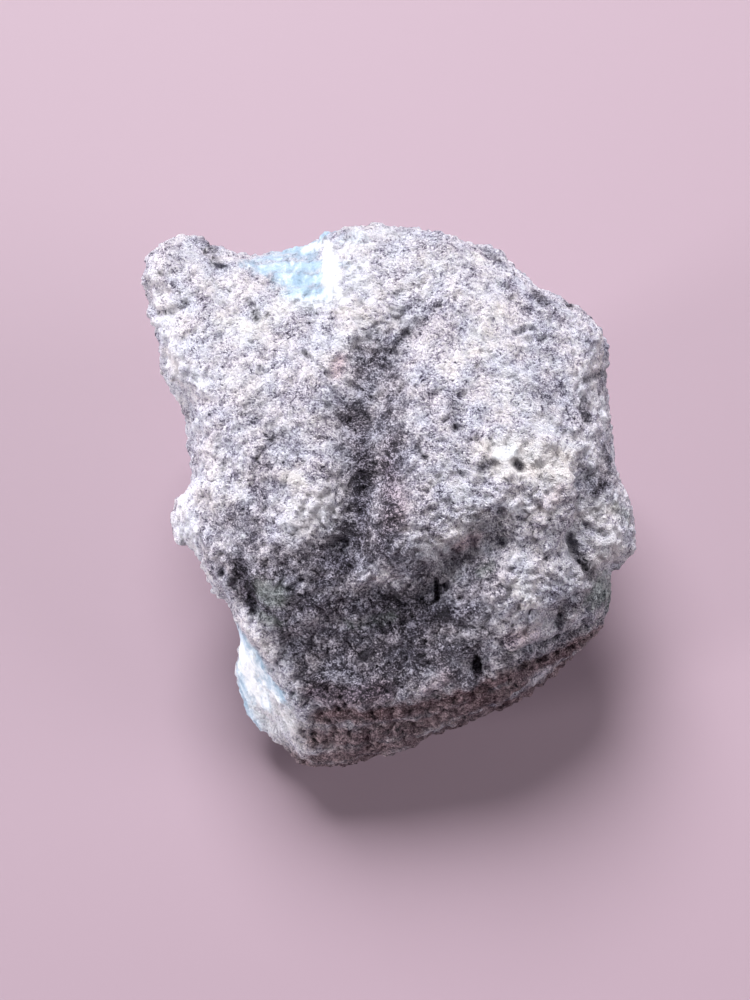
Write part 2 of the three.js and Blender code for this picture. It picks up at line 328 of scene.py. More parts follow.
swollen = groupOf(stone, "swells", sharesOf(stone, spotsOf(stone), swells))
apply(stone, "DISPLACE", strength=swellHeight * mm, mid_level=0, vertex_group=swollen)

for index, share in sharesOf(stone, spotsOf(stone), smoothPlaces).items():
    looseShares[index] *= 1 - share
rough = groupOf(stone, "rough", looseShares)
for number, layer in enumerate(crustRelief):
    apply(
        stone, "DISPLACE", texture=crustTexture(number, layer), texture_coords="LOCAL",
        strength=layer["out"] * mm, mid_level=layer["level"], vertex_group=rough,
    )

spots = spotsOf(stone)
sunk = groupOf(stone, "sunk marks", sharesOf(stone, spots, sunkMarks))
raised = groupOf(stone, "raised marks", sharesOf(stone, spots, raisedMarks))
apply(stone, "DISPLACE", strength=-mm, mid_level=0, vertex_group=sunk)
apply(stone, "DISPLACE", strength=mm, mid_level=0, vertex_group=raised)

# What lies lower than the seat is pressed flat onto the ground.
for vertex in stone.data.vertices:
    vertex.select = vertex.co.z < seat
for face in stone.data.polygons:
    face.select = all(stone.data.vertices[i].select for i in face.vertices)
bpy.ops.object.mode_set(mode="EDIT")
bpy.ops.mesh.select_mode(type="VERT")
bpy.ops.transform.resize(value=(1, 1, 0), center_override=(0, 0, 0))
bpy.ops.object.mode_set(mode="OBJECT")

# The side that the photograph doesn't show is thinned first.
hiddenShares = {}
for vertex in stone.data.vertices:
    hiddenShares[vertex.index] = min(max(stoneForm["hiddenFrom"] - vertex.normal.dot(outOfFace), 0), 1)
hidden = groupOf(stone, "hidden side", hiddenShares)
triangles = sum(len(face.vertices) - 2 for face in stone.data.polygons)
if triangles > stoneForm["mostTriangles"]:
    apply(stone, "DECIMATE", ratio=stoneForm["mostTriangles"] / triangles, vertex_group=hidden)
shown = sum(face.normal.dot(outOfFace) > 0 for face in stone.data.polygons)
print(triangles, "triangles thinned to", len(stone.data.polygons), "faces,", shown, "on the shown side")


print("the stone's stains")
# Colour that follows the stone: the strength at each vertex is kept under the stain's name. Some of these
# paint light and shade: painted shade over darker crust, painted shade along with the pits, painted light,
# and painted warm bounce light along with the pink and brown tints.
stainsAndPaintedLight = {
    "blue": [
        {"seen": [(248, 264), (262, 259), (285, 257), (312, 256)], "half": 1.3, "amount": 0.6},
        {"seen": [(264, 268), (285, 266), (314, 266)], "half": 1.4, "amount": 0.8},
        {"seen": [(282, 278), (300, 280), (316, 280)], "half": 1.4, "amount": 0.85},
        {"seen": [(290, 292), (306, 293), (326, 293)], "half": 1.2, "amount": 0.75},
        {"seen": [(336, 262), (346, 264)], "half": 0.9, "amount": 0.5},
        {"seen": [(340, 240), (360, 236)], "half": 1.4, "amount": 0.4},
        {"seen": [(241, 638), (244, 665), (248, 696)], "half": 1.7, "amount": 1.3},
        {"seen": [(250, 654), (262, 674), (277, 692)], "half": 1.6, "amount": 1.3},
        {"seen": [(254, 676), (262, 700)], "half": 1.6, "amount": 1.2},
        {"side": [(196, 30), (204, 28), (208, 24)], "half": 2.4, "amount": 0.8},
        {"side": [(318, 9), (326, 7)], "half": 2.2, "amount": 0.8},
        {"side": [(128, 16), (138, 13)], "half": 1.8, "amount": 0.6},
    ],
    "white": [
        {"seen": [(326, 250), (330, 262), (330, 280)], "half": 1.1, "amount": 0.9},
        {"seen": [(336, 286), (338, 292)], "half": 0.9, "amount": 0.6},
        {"seen": [(306, 250), (324, 244)], "half": 0.8, "amount": 0.6},
        {"seen": [(284, 304), (318, 306), (344, 300)], "half": 1.3, "amount": 0.45},
        {"seen": [(346, 246), (366, 250), (350, 274)], "half": 1.6, "amount": 0.4},
        {"seen": [(250, 664), (253, 692)], "half": 0.55, "amount": 0.85},
        {"seen": [(264, 682), (266, 704)], "half": 0.5, "amount": 0.8},
        {"seen": [(254, 708), (270, 730), (288, 722)], "half": 1.6, "amount": 0.5},
        {"seen": [(195, 530)], "half": 0.6, "amount": 0.6},
        {"seen": [(243, 536)], "half": 0.4, "amount": 0.6},
        {"seen": [(195, 374), (201, 384)], "half": 0.8, "amount": 0.5},
        {"seen": [(603, 398), (606, 428)], "half": 1.0, "amount": 0.4},
        {"seen": [(500, 454), (513, 451)], "half": 0.8, "amount": 0.9},
        {"seen": [(355, 232), (400, 234)], "half": 1.4, "amount": 0.45},
        {"side": [(188, 28), (193, 25)], "half": 1.0, "amount": 0.5},
        {"side": [(240, 12), (246, 12)], "half": 1.2, "amount": 0.4},
    ],
    "pale": [
        {"seen": [(222, 322), (250, 328), (283, 309)], "half": 1.5, "amount": 0.7},
        {"seen": [(238, 342), (256, 336)], "half": 1.3, "amount": 0.5},
        {"seen": [(474, 345), (484, 330), (497, 312)], "half": 1.7, "amount": 0.7},
        {"seen": [(444, 368), (463, 352)], "half": 1.5, "amount": 0.5},
        {"seen": [(194, 490), (216, 484), (242, 480)], "half": 1.9, "amount": 0.4},
        {"seen": [(214, 502), (236, 494)], "half": 1.4, "amount": 0.5},
        {"seen": [(285, 476), (298, 480)], "half": 1.0, "amount": 0.8},
        {"seen": [(500, 456), (530, 460), (560, 466)], "half": 2.4, "amount": 1.0},
        {"seen": [(536, 482), (566, 476)], "half": 1.7, "amount": 0.6},
        {"seen": [(519, 588), (526, 604)], "half": 1.4, "amount": 0.7},
        {"seen": [(345, 310), (366, 316)], "half": 1.3, "amount": 0.5},
        {"seen": [(414, 260), (436, 268), (452, 256)], "half": 1.7, "amount": 0.4},
        {"seen": [(470, 255), (484, 262)], "half": 1.4, "amount": 0.6},
        {"seen": [(512, 395), (520, 402)], "half": 1.4, "amount": 0.5},
        {"seen": [(262, 428), (300, 432), (318, 420)], "half": 1.0, "amount": 0.35},
        {"seen": [(596, 500), (612, 510)], "half": 1.4, "amount": 0.5},
        {"side": [(100, 20), (112, 17)], "half": 2.2, "amount": 0.6},
        {"side": [(175, 17), (186, 13)], "half": 2.4, "amount": 0.6},
        {"side": [(222, 24), (232, 21)], "half": 2.0, "amount": 0.6},
        {"side": [(262, 14), (272, 11)], "half": 2.0, "amount": 0.6},
    ],
    # Pits and cracks, and painted shade in the furrow, the lower slope's hollows, the corner and the lip.
    "pitsAndShade": [
        {"seen": [(239, 562), (244, 584), (252, 604)], "half": 1.2, "amount": 0.8},
        {"seen": [(272, 438), (282, 434)], "half": 1.0, "amount": 0.45},
        {"seen": [(210, 246), (218, 264)], "half": 0.8, "amount": 0.5},
        {"seen": [(252, 306), (257, 318)], "half": 0.7, "amount": 0.5},
        {"seen": [(158, 313), (188, 304)], "half": 0.5, "amount": 0.4},
        {"seen": [(396, 348), (402, 338), (414, 330), (424, 320)], "half": 0.6, "amount": 0.45},
        {"seen": [(517, 464), (520, 468)], "half": 0.7, "amount": 0.75},
        {"seen": [(482, 468), (494, 461)], "half": 0.8, "amount": 0.7},
        {"seen": [(453, 406), (456, 430)], "half": 0.5, "amount": 0.45},
        {"seen": [(420, 440), (418, 450), (423, 458)], "half": 0.5, "amount": 0.6},
        {"seen": [(536, 292), (543, 302)], "half": 1.0, "amount": 0.7},
        {"seen": [(566, 302), (572, 308)], "half": 0.8, "amount": 0.6},
        {"seen": [(486, 250), (500, 262)], "half": 0.8, "amount": 0.5},
        {"seen": [(584, 380), (604, 372)], "half": 0.6, "amount": 0.55},
        {"seen": [(584, 402), (586, 420)], "half": 1.0, "amount": 0.6},
        {"seen": [(569, 538), (576, 554), (592, 576)], "half": 1.0, "amount": 0.55},
        {"seen": [(584, 572), (592, 586), (586, 600)], "half": 1.0, "amount": 0.5},
        {"seen": [(596, 494), (606, 484)], "half": 0.8, "amount": 0.7},
        {"seen": [(436, 582), (436, 600)], "half": 0.4, "amount": 1.0},
        {"seen": [(444, 584), (443, 592)], "half": 0.35, "amount": 0.9},
        {"seen": [(477, 660), (479, 672)], "half": 0.8, "amount": 1.0},
        {"seen": [(550, 520)], "half": 0.4, "amount": 0.8},
        {"seen": [(500, 511)], "half": 0.6, "amount": 0.6},
        {"seen": [(222, 571)], "half": 0.5, "amount": 0.6},
        {"seen": [(392, 600), (424, 604), (436, 618), (384, 622)], "half": 2.0, "amount": 0.65},
        {"seen": [(320, 690), (350, 695), (378, 691)], "half": 1.0, "amount": 0.7},
        {"seen": [(326, 558), (346, 566)], "half": 1.5, "amount": 0.75},
        {"seen": [(350, 664), (366, 678)], "half": 1.4, "amount": 0.45},
        {"seen": [(246, 580), (250, 596)], "half": 1.6, "amount": 1.0},
        {"seen": [(364, 456), (364, 498), (362, 540)], "half": 1.6, "amount": 0.65},
        {"seen": [(362, 430), (366, 450)], "half": 1.4, "amount": 0.35},
        {"seen": [(388, 648), (412, 654)], "half": 1.5, "amount": 0.4},
        {"seen": [(604, 446), (610, 470)], "half": 1.0, "amount": 0.6},
        {"side": [(150, 15)], "half": 1.5, "amount": 0.8},
        {"side": [(210, 22), (214, 14)], "half": 1.2, "amount": 0.7},
        {"side": [(250, 16), (262, 11)], "half": 1.3, "amount": 0.7},
        {"side": [(88, 14), (102, 11)], "half": 1.2, "amount": 0.7},
    ],
    # Painted shade in the furrow, on the lower slope, under the lip and on the hip, partly darker crust.
    "shadeAndDarkCrust": [
        {"seen": [(370, 356), (364, 374), (364, 420)], "half": 1.7, "amount": 0.9},
        {"seen": [(378, 354), (386, 378), (390, 405), (382, 430)], "half": 2.2, "amount": 0.85},
        {"seen": [(350, 420), (360, 440), (366, 470), (364, 510), (358, 540)], "half": 2.7, "amount": 1.0},
        {"seen": [(390, 440), (388, 480), (390, 520), (380, 550)], "half": 2.3, "amount": 1.0},
        {"seen": [(322, 556), (344, 564), (322, 580)], "half": 2.6, "amount": 1.0},
        {"seen": [(310, 693), (350, 697), (390, 690)], "half": 1.5, "amount": 1.0},
        {"seen": [(330, 664), (360, 672), (400, 668)], "half": 2.4, "amount": 1.0},
        {"seen": [(244, 570), (270, 576), (300, 558), (350, 554), (400, 556), (430, 580)], "half": 2.5,
         "amount": 0.85},
        {"seen": [(336, 546), (354, 560)], "half": 2.2, "amount": 0.9},
        {"seen": [(290, 605), (340, 605), (400, 608), (440, 616), (470, 608)], "half": 3.0, "amount": 1.0},
        {"seen": [(300, 645), (350, 650), (410, 650), (470, 652)], "half": 3.0, "amount": 0.95},
        {"seen": [(314, 680), (350, 688), (400, 680), (430, 660), (470, 680)], "half": 2.2, "amount": 0.95},
        {"seen": [(250, 572), (262, 600), (282, 630), (302, 662), (318, 688)], "half": 1.5, "amount": 0.95},
        {"seen": [(290, 628), (350, 630), (420, 632)], "half": 2.4, "amount": 1.0},
        {"seen": [(456, 556), (485, 566), (474, 596)], "half": 2.3, "amount": 0.85},
        {"seen": [(478, 522), (500, 538), (484, 556)], "half": 1.9, "amount": 0.5},
        {"seen": [(590, 492), (600, 480)], "half": 1.8, "amount": 0.8},
        {"seen": [(578, 560), (588, 572)], "half": 1.5, "amount": 0.4},
        {"seen": [(598, 588), (608, 602)], "half": 1.6, "amount": 0.5},
        {"seen": [(456, 628), (486, 632)], "half": 1.7, "amount": 0.8},
        {"seen": [(500, 658), (540, 650), (575, 632)], "half": 1.6, "amount": 0.65},
        {"seen": [(560, 616), (576, 600)], "half": 1.5, "amount": 0.6},
        {"seen": [(330, 712), (380, 710), (440, 700), (480, 690)], "half": 2.0, "amount": 0.7},
        {"seen": [(255, 400), (268, 436), (300, 440)], "half": 2.0, "amount": 0.3},
        {"seen": [(262, 456), (284, 466), (262, 500)], "half": 1.8, "amount": 0.35},
        {"seen": [(222, 520), (252, 528), (244, 548)], "half": 2.0, "amount": 0.65},
        {"seen": [(404, 335), (418, 322)], "half": 1.6, "amount": 0.35},
        {"seen": [(534, 392), (545, 402)], "half": 1.5, "amount": 0.3},
        {"side": [(210, 20), (220, 12)], "half": 3.4, "amount": 0.4},
        {"side": [(262, 12), (280, 14)], "half": 3.2, "amount": 0.35},
        {"side": [(95, 12), (125, 10)], "half": 3.4, "amount": 0.4},
    ],
    "green": [
        {"seen": [(262, 590), (276, 596)], "half": 1.6, "amount": 0.9},
        {"seen": [(262, 614), (276, 622)], "half": 1.2, "amount": 0.6},
        {"seen": [(596, 596), (606, 586), (611, 600)], "half": 1.8, "amount": 0.9},
        {"seen": [(618, 508), (626, 518)], "half": 1.3, "amount": 0.6},
        {"seen": [(480, 572), (490, 566)], "half": 1.0, "amount": 0.5},
        {"seen": [(392, 616), (352, 626)], "half": 1.2, "amount": 0.4},
        {"side": [(70, 17), (80, 15)], "half": 2.5, "amount": 0.7},
        {"side": [(120, 11), (130, 9)], "half": 2.2, "amount": 0.7},
        {"side": [(280, 12), (288, 9)], "half": 2.2, "amount": 0.8},
    ],
    # The brown wall under the lip, its reddish tint partly painted warm bounce light.
    "brownAndBounce": [
        {"seen": [(322, 716), (380, 716), (440, 704), (500, 682), (560, 656), (600, 630)], "half": 1.7,
         "amount": 0.8},
        {"seen": [(316, 738), (360, 738), (410, 728), (460, 712), (520, 686)], "half": 2.4, "amount": 0.8},
        {"seen": [(320, 760), (360, 752), (430, 738), (490, 712), (550, 684), (596, 648)], "half": 2.6,
         "amount": 0.8},
        {"side": [(-20, 5), (0, 6), (20, 8), (40, 10), (56, 13)], "half": 4.0, "amount": 0.8},
        {"side": [(170, 9), (196, 8)], "half": 3.0, "amount": 0.5},
    ],
    # Painted light where the stone faces away from the lamps, in places over its own paler colour.
    "light": [
        {"seen": [(156, 276), (168, 262), (192, 258)], "half": 2.0, "amount": 0.8},
        {"seen": [(345, 290), (400, 290), (424, 282)], "half": 1.9, "amount": 0.8},
        {"seen": [(330, 340), (344, 332), (356, 328)], "half": 1.8, "amount": 1.1},
        {"seen": [(392, 312), (402, 318)], "half": 1.6, "amount": 0.6},
        {"seen": [(164, 300), (172, 350), (174, 400), (180, 440), (180, 470), (186, 520), (196, 556)],
         "half": 2.1, "amount": 1.0},
        {"seen": [(200, 368), (224, 378), (254, 372), (250, 396)], "half": 2.2, "amount": 0.8},
        {"seen": [(222, 440), (214, 462)], "half": 1.8, "amount": 0.5},
        {"seen": [(225, 296), (254, 290), (254, 330)], "half": 2.0, "amount": 0.8},
        {"seen": [(332, 364), (334, 378)], "half": 1.5, "amount": 0.7},
        {"seen": [(450, 286), (480, 292)], "half": 1.8, "amount": 0.6},
        {"seen": [(494, 352), (506, 380), (514, 420)], "half": 2.4, "amount": 0.7},
        {"seen": [(540, 340), (562, 356), (584, 372), (590, 396)], "half": 2.1, "amount": 0.45},
        {"seen": [(545, 430), (570, 440), (592, 456)], "half": 1.9, "amount": 0.7},
        {"seen": [(504, 446), (512, 470), (516, 500)], "half": 2.2, "amount": 0.75},
        {"seen": [(546, 462), (566, 480), (554, 510), (556, 545)], "half": 2.4, "amount": 0.5},
        {"seen": [(298, 484), (306, 524), (318, 512), (330, 488)], "half": 1.8, "amount": 1.1},
        {"seen": [(166, 404), (176, 440), (168, 462)], "half": 2.0, "amount": 1.3},
        {"seen": [(452, 640), (464, 632), (500, 618)], "half": 1.5, "amount": 0.5},
        {"seen": [(505, 618), (535, 622)], "half": 1.6, "amount": 0.5},
        {"seen": [(528, 508), (540, 526)], "half": 1.7, "amount": 0.5},
        {"seen": [(522, 460), (546, 472)], "half": 2.3, "amount": 1.2},
        {"seen": [(520, 552), (538, 580), (536, 604)], "half": 2.4, "amount": 0.3},
        {"seen": [(596, 512), (612, 525), (606, 556)], "half": 2.3, "amount": 1.0},
        {"seen": [(426, 548), (456, 544), (474, 520)], "half": 1.8, "amount": 1.1},
        {"seen": [(243, 622), (254, 636), (266, 650)], "half": 0.7, "amount": 0.8},
        {"seen": [(242, 650), (250, 676), (262, 700)], "half": 2.2, "amount": 1.0},
        {"seen": [(276, 704), (290, 722)], "half": 1.9, "amount": 1.3},
        {"seen": [(266, 716), (280, 736), (284, 756)], "half": 2.2, "amount": 0.8},
        {"seen": [(296, 722), (300, 740)], "half": 1.6, "amount": 0.6},
        {"seen": [(436, 684), (452, 674)], "half": 1.2, "amount": 0.7},
        {"side": [(140, 22), (160, 20)], "half": 3.0, "amount": 0.7},
        {"side": [(230, 20), (250, 20)], "half": 3.0, "amount": 0.7},
        {"side": [(300, 16), (316, 14)], "half": 3.0, "amount": 0.5},
    ],
    # A pink tint, and painted warm bounce light along the lower lip.
    "pinkAndBounce": [
        {"seen": [(460, 545), (474, 538)], "half": 1.2, "amount": 0.8},
        {"seen": [(388, 470), (400, 500), (396, 520)], "half": 2.0, "amount": 0.5},
        {"seen": [(340, 360), (336, 372)], "half": 1.0, "amount": 0.7},
        {"seen": [(512, 640), (536, 634)], "half": 1.5, "amount": 0.6},
        {"seen": [(430, 690), (446, 680)], "half": 1.4, "amount": 0.6},
        {"seen": [(316, 694), (350, 700), (384, 692)], "half": 1.6, "amount": 0.9},
        {"seen": [(545, 500), (560, 490)], "half": 1.6, "amount": 0.4},
    ],
}
spots = spotsOf(stone)
for name, strokes in stainsAndPaintedLight.items():
    attribute = stone.data.attributes.new(name, "FLOAT", "POINT")
    for index, share in sharesOf(stone, spots, strokes).items():
        attribute.data[index].value = share


print("the stone's skin")


def addNode(nodes, kind, inputs=None, **settings):
    node = nodes.new(kind)
    for name, value in settings.items():
        setattr(node, name, value)
    for name, value in (inputs or {}).items():
        node.inputs[name].default_value = value
    return node


def startGroup(name, inputs, outputs):
    group = bpy.data.node_groups.new(name, "ShaderNodeTree")
    for socket, kind in inputs:
        group.interface.new_socket(socket, in_out="INPUT", socket_type=kind)
    for socket, kind in outputs:
        group.interface.new_socket(socket, in_out="OUTPUT", socket_type=kind)
    return group, group.nodes.new("NodeGroupInput"), group.nodes.new("NodeGroupOutput")


def mathNode(group, operation, first, second=None, third=None, clamp=False):
    node = addNode(group.nodes, "ShaderNodeMath", operation=operation, use_clamp=clamp)
    for socket, value in zip(node.inputs, (first, second, third)):
        if value is None:
            continue
        if isinstance(value, (int, float)):
            socket.default_value = value
        else:
            group.links.new(value, socket)
    return node.outputs[0]


def noiseOf(group, place, look):
    node = addNode(group.nodes, "ShaderNodeTexNoise", inputs={
        "Scale": look["scale"],
        "Detail": look["detail"],
        "Roughness": look["roughness"],
        "Distortion": look["distortion"],
    })
    group.links.new(place, node.inputs["Vector"])
    return node.outputs["Fac"]


def smoothStepOf(group, value, low, high):
    node = addNode(group.nodes, "ShaderNodeMapRange", interpolation_type="SMOOTHSTEP", inputs={
        "From Min": low,
        "From Max": high,
    })
    group.links.new(value, node.inputs["Value"])
    return node.outputs["Result"]


def rampOf(group, factor, stops):
    node = group.nodes.new("ShaderNodeValToRGB")
    stopList = node.color_ramp.elements
    while len(stopList) < len(stops):
        stopList.new(0.5)
    for stop, (position, colour) in zip(stopList, stops):
        stop.position = position
        stop.color = (*colour, 1)
    group.links.new(factor, node.inputs["Fac"])
    return node.outputs["Color"]


# A mix of two colours: of the node's sockets, 0 is the factor, 6 and 7 are the colours and 2 the result.
def mixOf(group, factor, first, second, blend="MIX"):
    node = addNode(group.nodes, "ShaderNodeMix", data_type="RGBA", blend_type=blend)
    for socket, value in ((node.inputs[0], factor), (node.inputs[6], first), (node.inputs[7], second)):
        if isinstance(value, (int, float)):
            socket.default_value = value
        elif isinstance(value, tuple):
            socket.default_value = (*value, 1)
        else:
            group.links.new(value, socket)
    return node.outputs[2]


def tinted(group, colour, tint):
    return mixOf(group, 1.0, colour, tint, "MULTIPLY")


# Sugary grain: short crooked threads, grit, soft lumps, small crystals and pits. A pattern's scale is in
# repeats for each millimetre, and share is how far it moves the tone. middle brings the tone back to about
# a half.
grainLook = {
    "grit": {"scale": 4.4, "detail": 2, "roughness": 0.8, "distortion": 0.4, "share": 1.95},
    "threads": {"scale": 1.6, "detail": 3, "roughness": 0.65, "distortion": 1.6, "share": 0.3, "thin": 12},
    "lumps": {"scale": 0.75, "detail": 3, "roughness": 0.6, "distortion": 0.6, "share": 1.1},
    "crystals": {"scale": 2.0, "share": 0.3},
    "pits": {"scale": 1.2, "detail": 2, "roughness": 0.6, "distortion": 0.8, "share": 0.36},
    "pitEdge": (0.58, 0.7),
    "middle": 0.885,
}


def makeGrain():
    group, given, result = startGroup(
        "sugary grain", [("Place", "NodeSocketVector")], [("Tone", "NodeSocketFloat")])
    place = given.outputs["Place"]
    grit, threads, lumps = grainLook["grit"], grainLook["threads"], grainLook["lumps"]
    crystals, pits = grainLook["crystals"], grainLook["pits"]

    # a thread runs where its noise crosses the middle
    fromMiddle = mathNode(group, "SUBTRACT", noiseOf(group, place, threads), 0.5)
    fromMiddle = mathNode(group, "ABSOLUTE", fromMiddle)
    fromMiddle = mathNode(group, "MULTIPLY", fromMiddle, threads["thin"], clamp=True)
    ridge = mathNode(group, "SUBTRACT", 1, fromMiddle)

    cells = addNode(group.nodes, "ShaderNodeTexVoronoi", inputs={"Scale": crystals["scale"], "Randomness": 1})
    group.links.new(place, cells.inputs["Vector"])
    pitMask = smoothStepOf(group, noiseOf(group, place, pits), *grainLook["pitEdge"])

    tone = mathNode(group, "MULTIPLY", noiseOf(group, place, grit), grit["share"])
    tone = mathNode(group, "MULTIPLY_ADD", ridge, threads["share"], tone)
    tone = mathNode(group, "MULTIPLY_ADD", noiseOf(group, place, lumps), lumps["share"], tone)
    tone = mathNode(group, "MULTIPLY_ADD", cells.outputs["Distance"], -crystals["share"], tone)
    tone = mathNode(group, "MULTIPLY_ADD", pitMask, -pits["share"], tone)
    tone = mathNode(group, "SUBTRACT", tone, grainLook["middle"])
    group.links.new(tone, result.inputs["Tone"])
    return group


# The edge of a stain, broken up by a noise. wander is how far the noise moves the edge of each stain, and
# present keeps a stain off the places where it has no strength at all. The painted shade and the painted
# light fade without it.
stainEdgeLook = {
    "noise": {"scale": 0.9, "detail": 6, "roughness": 0.8, "distortion": 0.5},
    "edge": (0.12, 0.78),
    "present": 12,
    "wander": {
        "blue": 1.3, "white": 1.3, "pale": 1.4, "pitsAndShade": 0.5, "green": 1.0, "brownAndBounce": 0.8, "pinkAndBounce": 0.5,
    },
}


def makeStainEdge():
    group, given, result = startGroup(
        "stain edge",
        [("Amount", "NodeSocketFloat"), ("Place", "NodeSocketVector"), ("Wander", "NodeSocketFloat")],
        [("Mask", "NodeSocketFloat")])
    amount = given.outputs["Amount"]
    wander = mathNode(group, "SUBTRACT", noiseOf(group, given.outputs["Place"], stainEdgeLook["noise"]), 0.5)
    wander = mathNode(group, "MULTIPLY", wander, given.outputs["Wander"])
    shaped = smoothStepOf(group, mathNode(group, "ADD", amount, wander), *stainEdgeLook["edge"])
    present = mathNode(group, "MULTIPLY", amount, stainEdgeLook["present"], clamp=True)
    group.links.new(mathNode(group, "MULTIPLY", shaped, present), result.inputs["Mask"])
    return group


grain = makeGrain()
stainEdge = makeStainEdge()

# Colours from the darkest to the palest tone, and how much of each thing goes into the skin.
skinLook = {
    "crust": [
        (0.0, (0.028, 0.025, 0.04)),
        (0.28, (0.12, 0.11, 0.155)),
        (0.5, (0.36, 0.34, 0.425)),
        (0.72, (0.68, 0.665, 0.76)),
        (1.0, (0.95, 0.945, 0.98)),
    ],
    # The darker crust, which is also the colour of the painted shade.
    "darkAndShadedCrust": [
        (0.0, (0.006, 0.005, 0.008)),
        (0.35, (0.018, 0.016, 0.024)),
        (0.6, (0.046, 0.039, 0.056)),
        (0.8, (0.152, 0.136, 0.187)),
        (1.0, (0.61, 0.59, 0.68)),
    ],
    # The tint of the pits and of the painted shade laid with them.
    "pitAndShadeTint": (0.55, 0.54, 0.57),
    "paleTint": (1.0, 0.99, 0.95),
    # The tint of the pink places and of the painted warm bounce light.
    "pinkAndBounceTint": (1.0, 0.86, 0.87),
    "hues": [(0.35, (0.93, 0.95, 1.0)), (0.65, (1.0, 0.955, 0.95))],
    "hueNoise": {"scale": 0.35, "detail": 2, "roughness": 0.55, "distortion": 0},
    "broadDrift": {"scale": 0.22, "detail": 3, "roughness": 0.6, "distortion": 0, "share": 0.7},
    "smallDrift": {"scale": 0.6, "detail": 3, "roughness": 0.65, "distortion": 0, "share": 0.5},
    "toneLift": 0.13,
    "paleLift": 0.26,
    # How far the painted light lifts the tone.
    "paintedLightLift": 0.27,
    "bump": 0.3,
    "roughness": 0.88,
    "specular": 0.35,
}
# The wall's colours: its own brown, made redder by painted warm bounce light.
wallLook = {
    "colours": [(0.0, (0.02, 0.012, 0.013)), (0.45, (0.114, 0.05, 0.056)), (1.0, (0.54, 0.355, 0.39))],
    "stretch": (0.22, 1.7, 1.7),
    "turn": (0, 0, -0.3),  # radians
    "layers": {"scale": 1.0, "detail": 4, "roughness": 0.7, "distortion": 0.3, "share": 0.7},
    "grainShare": 0.9,
    "middle": 0.4,
    "strength": 0.85,
}
greenLook = {
    "colours": [(0.0, (0.018, 0.024, 0.024)), (0.5, (0.115, 0.147, 0.132)), (1.0, (0.42, 0.48, 0.45))],
    "strength": 0.6,
}
blueLook = {
    "colours": [
        (0.0, (0.24, 0.36, 0.48)),
        (0.4, (0.35, 0.475, 0.6)),
        (0.7, (0.6, 0.695, 0.79)),
        (1.0, (0.9, 0.93, 0.96)),
    ],
    "stretch": (1.0, 0.35, 0.6),
    "turn": (0, 0, 0.25),  # radians
    "threads": {"scale": 0.9, "detail": 4, "roughness": 0.6, "distortion": 0.8},
    "grainShare": 0.16,
    "contrast": 1.8,
    "middle": 0.39,
    # How far the painted light pales the blue stone.
    "paintedLightShare": 0.55,
    "white": (0.89, 0.93, 0.98),
    "whiteStrength": 0.9,
    "roughness": 0.5,
    "smoothness": 0.75,  # share of the crust's bump that the blue and the white stone don't have
}


def amountOf(tree, name):
    return addNode(tree.nodes, "ShaderNodeAttribute", attribute_name=name).outputs["Fac"]


def stainOf(tree, place, name):
    wander = stainEdgeLook["wander"][name]
    edge = addNode(tree.nodes, "ShaderNodeGroup", node_tree=stainEdge, inputs={"Wander": wander})
    tree.links.new(amountOf(tree, name), edge.inputs["Amount"])
    tree.links.new(place, edge.inputs["Place"])
    return edge.outputs["Mask"]


def drawnOut(tree, place, look):  # the place, stretched and turned
    mapping = addNode(tree.nodes, "ShaderNodeMapping", inputs={
        "Scale": look["stretch"],
        "Rotation": look["turn"],
    })
    tree.links.new(place, mapping.inputs["Vector"])
    return mapping.outputs["Vector"]


# The tone of the grain, moved by broad light and dark areas.
def driftedTone(tree, place, tone):
    broad, small = skinLook["broadDrift"], skinLook["smallDrift"]
    broadPart = mathNode(tree, "SUBTRACT", noiseOf(tree, place, broad), 0.5)
    smallPart = mathNode(tree, "SUBTRACT", noiseOf(tree, place, small), 0.5)
    drift = mathNode(tree, "MULTIPLY", broadPart, broad["share"])
    drift = mathNode(tree, "MULTIPLY_ADD", smallPart, small["share"], drift)
    return mathNode(tree, "ADD", mathNode(tree, "ADD", tone, drift), skinLook["toneLift"])


# The grey crust with painted shade over darker places, painted light, pits with painted shade, pale places,
# pink places with painted warm bounce light, and a hue that drifts from cool to warm.
def crustColour(tree, place, tone):
    paleMask = stainOf(tree, place, "pale")
    lit = mathNode(tree, "MULTIPLY_ADD", paleMask, skinLook["paleLift"], tone)
    lit = mathNode(tree, "MULTIPLY_ADD", amountOf(tree, "light"), skinLook["paintedLightLift"], lit)
    # The painted shade takes the darker crust's colour.
    darkColour = rampOf(tree, tone, skinLook["darkAndShadedCrust"])
    colour = mixOf(tree, amountOf(tree, "shadeAndDarkCrust"), rampOf(tree, lit, skinLook["crust"]), darkColour)
    colour = mixOf(tree, stainOf(tree, place, "pitsAndShade"), colour, tinted(tree, darkColour, skinLook["pitAndShadeTint"]))
    colour = mixOf(tree, paleMask, colour, tinted(tree, colour, skinLook["paleTint"]))
    hue = noiseOf(tree, place, skinLook["hueNoise"])
    colour = tinted(tree, colour, rampOf(tree, hue, skinLook["hues"]))
    return mixOf(tree, stainOf(tree, place, "pinkAndBounce"), colour, tinted(tree, colour, skinLook["pinkAndBounceTint"]))


# The brown wall under the lip, in layers drawn out along it. Its reddish tint is partly painted warm
# bounce light.
def wallColour(tree, place, tone):
    layers = noiseOf(tree, drawnOut(tree, place, wallLook), wallLook["layers"])
    layers = mathNode(tree, "MULTIPLY", layers, wallLook["layers"]["share"])
    layers = mathNode(tree, "MULTIPLY_ADD", tone, wallLook["grainShare"], layers)
    return rampOf(tree, mathNode(tree, "SUBTRACT", layers, wallLook["middle"]), wallLook["colours"])


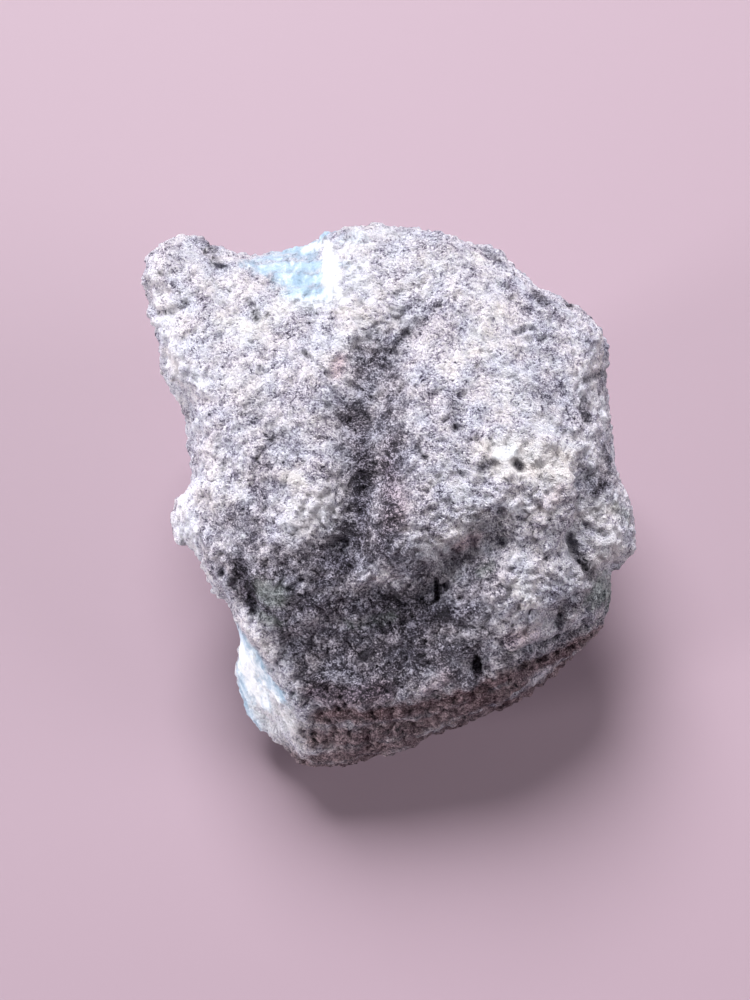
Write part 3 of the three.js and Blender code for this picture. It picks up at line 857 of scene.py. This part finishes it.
# The blue stone, with white threads that run down the face, paled by painted light.
def blueColour(tree, place, tone):
    threads = noiseOf(tree, drawnOut(tree, place, blueLook), blueLook["threads"])
    grainPart = mathNode(tree, "SUBTRACT", tone, 0.5)
    threads = mathNode(tree, "MULTIPLY_ADD", grainPart, blueLook["grainShare"], threads)
    threads = mathNode(tree, "SUBTRACT", threads, 0.5)
    threads = mathNode(tree, "MULTIPLY_ADD", threads, blueLook["contrast"], blueLook["middle"])
    threads = mathNode(tree, "MULTIPLY_ADD", amountOf(tree, "light"), blueLook["paintedLightShare"], threads)
    return rampOf(tree, threads, blueLook["colours"])


def stoneSkin():
    skin = bpy.data.materials.new("larimarCrust")
    skin.use_nodes = True
    tree = skin.node_tree
    shader = tree.nodes["Principled BSDF"]

    where = tree.nodes.new("ShaderNodeTexCoord")
    inMillimetres = addNode(tree.nodes, "ShaderNodeMapping", inputs={
        "Scale": (1 / mm, 1 / mm, 1 / mm),
        "Rotation": (-faceLean, 0, 0),
    })
    tree.links.new(where.outputs["Object"], inMillimetres.inputs["Vector"])
    place = inMillimetres.outputs["Vector"]
    grains = addNode(tree.nodes, "ShaderNodeGroup", node_tree=grain)
    tree.links.new(place, grains.inputs["Place"])
    tone = grains.outputs["Tone"]
    drifted = driftedTone(tree, place, tone)

    brownAndBounceMask = mathNode(tree, "MULTIPLY", stainOf(tree, place, "brownAndBounce"), wallLook["strength"])
    greenMask = mathNode(tree, "MULTIPLY", stainOf(tree, place, "green"), greenLook["strength"])
    blueMask = stainOf(tree, place, "blue")
    whiteMask = stainOf(tree, place, "white")
    whiteShare = mathNode(tree, "MULTIPLY", whiteMask, blueLook["whiteStrength"])
    colour = crustColour(tree, place, drifted)
    colour = mixOf(tree, brownAndBounceMask, colour, wallColour(tree, place, tone))
    colour = mixOf(tree, greenMask, colour, rampOf(tree, drifted, greenLook["colours"]))
    colour = mixOf(tree, blueMask, colour, blueColour(tree, place, tone))
    colour = mixOf(tree, whiteShare, colour, blueLook["white"])
    tree.links.new(colour, shader.inputs["Base Color"])

    bareStone = mathNode(tree, "MAXIMUM", blueMask, whiteMask)
    roughSpread = blueLook["roughness"] - skinLook["roughness"]
    roughness = mathNode(tree, "MULTIPLY_ADD", bareStone, roughSpread, skinLook["roughness"])
    tree.links.new(roughness, shader.inputs["Roughness"])

    bumpShare = mathNode(tree, "MULTIPLY_ADD", bareStone, -blueLook["smoothness"], 1)
    bump = addNode(tree.nodes, "ShaderNodeBump", inputs={"Strength": 1.0, "Distance": skinLook["bump"] * mm})
    tree.links.new(mathNode(tree, "MULTIPLY", tone, bumpShare), bump.inputs["Height"])
    tree.links.new(bump.outputs["Normal"], shader.inputs["Normal"])
    shader.inputs["Specular IOR Level"].default_value = skinLook["specular"]
    return skin


stone.data.materials.append(stoneSkin())
workOn(stone)
bpy.ops.object.shade_smooth()
stone.vertex_groups.clear()

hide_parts("larimar_stone")
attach(stone, "root")
